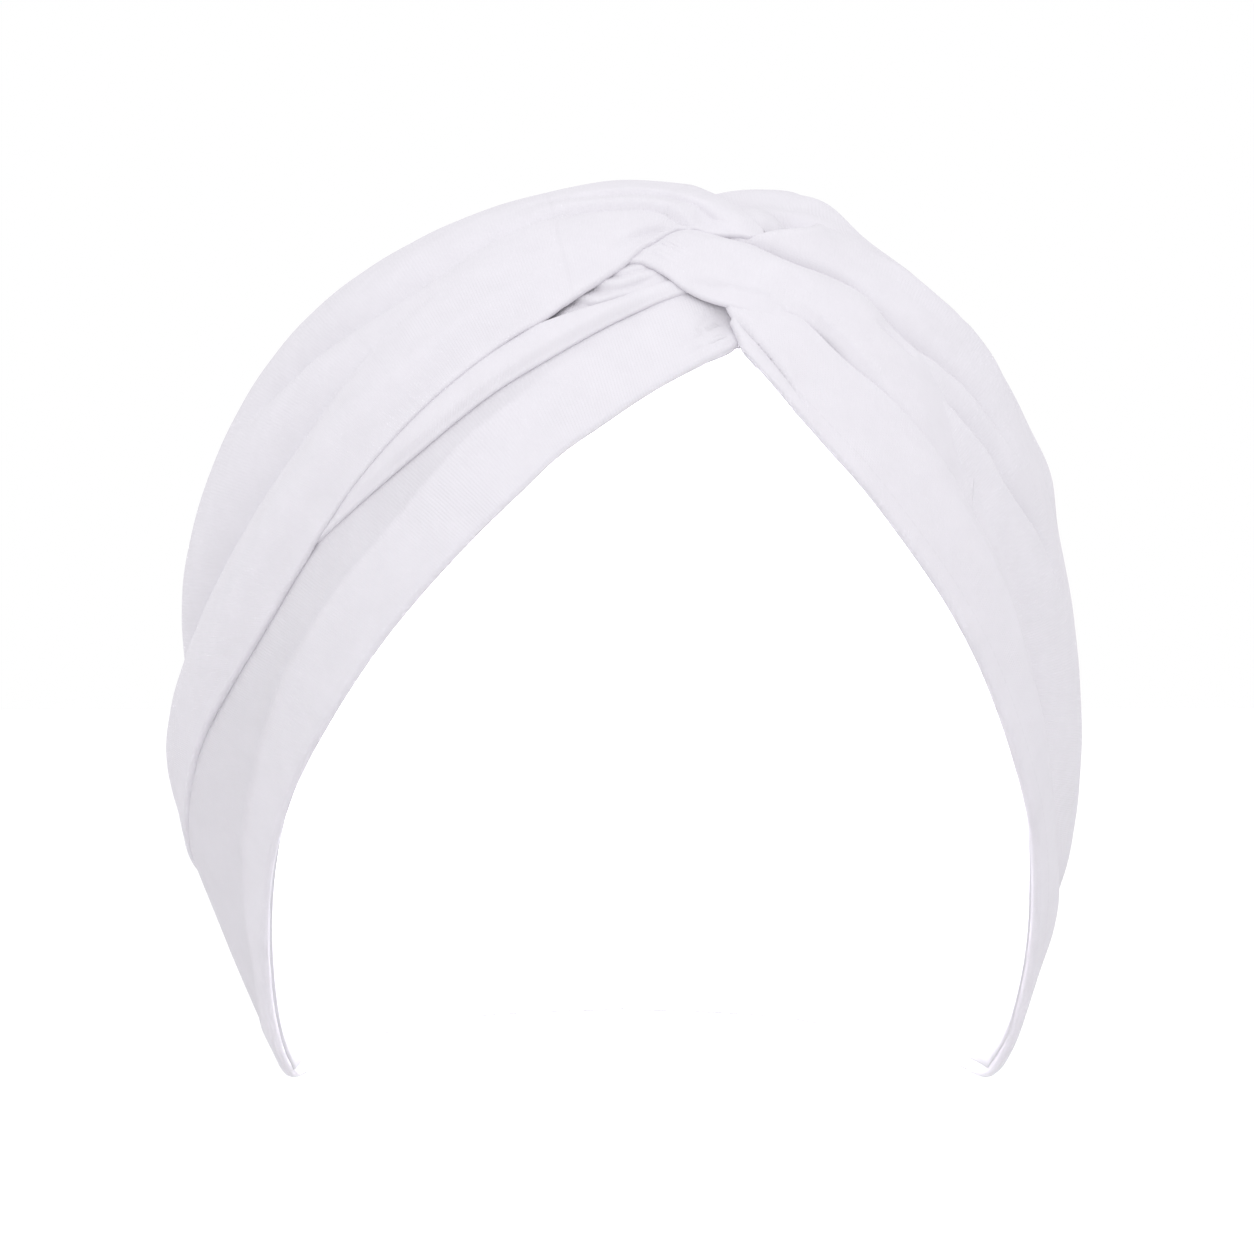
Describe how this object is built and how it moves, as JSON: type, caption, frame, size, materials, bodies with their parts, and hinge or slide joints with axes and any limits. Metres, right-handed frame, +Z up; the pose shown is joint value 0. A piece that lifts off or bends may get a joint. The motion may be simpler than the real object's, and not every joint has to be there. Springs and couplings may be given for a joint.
{
  "type": "turban",
  "caption": "Twist-front turban of pale ribbed jersey: a fitted cap with brow bands and two draped cloths that cross over the brow and run round to the nape.",
  "frame": {"origin": "highest point of the head hollow, on the inner side of the crown, where the top of a head bears", "axes": "+Z up, -Y out of the face opening, +X to the wearer's left"},
  "size_m": [0.1803, 0.1878, 0.1766],
  "materials": {
    "drape_jersey": "soft matte knit with fine ribs, cool white",
    "band_jersey": "soft matte knit with fine ribs and a turned hem, cool white",
    "cap_jersey": "soft matte knit with fine ribs, cool white"
  },
  "bodies": {
    "root": {"crown_cap": "cap_jersey", "left_brow_band": "band_jersey", "right_brow_band": "band_jersey", "left_pleat": "drape_jersey", "left_drape": "drape_jersey", "right_drape": "drape_jersey"}
  },
  "joints": []
}
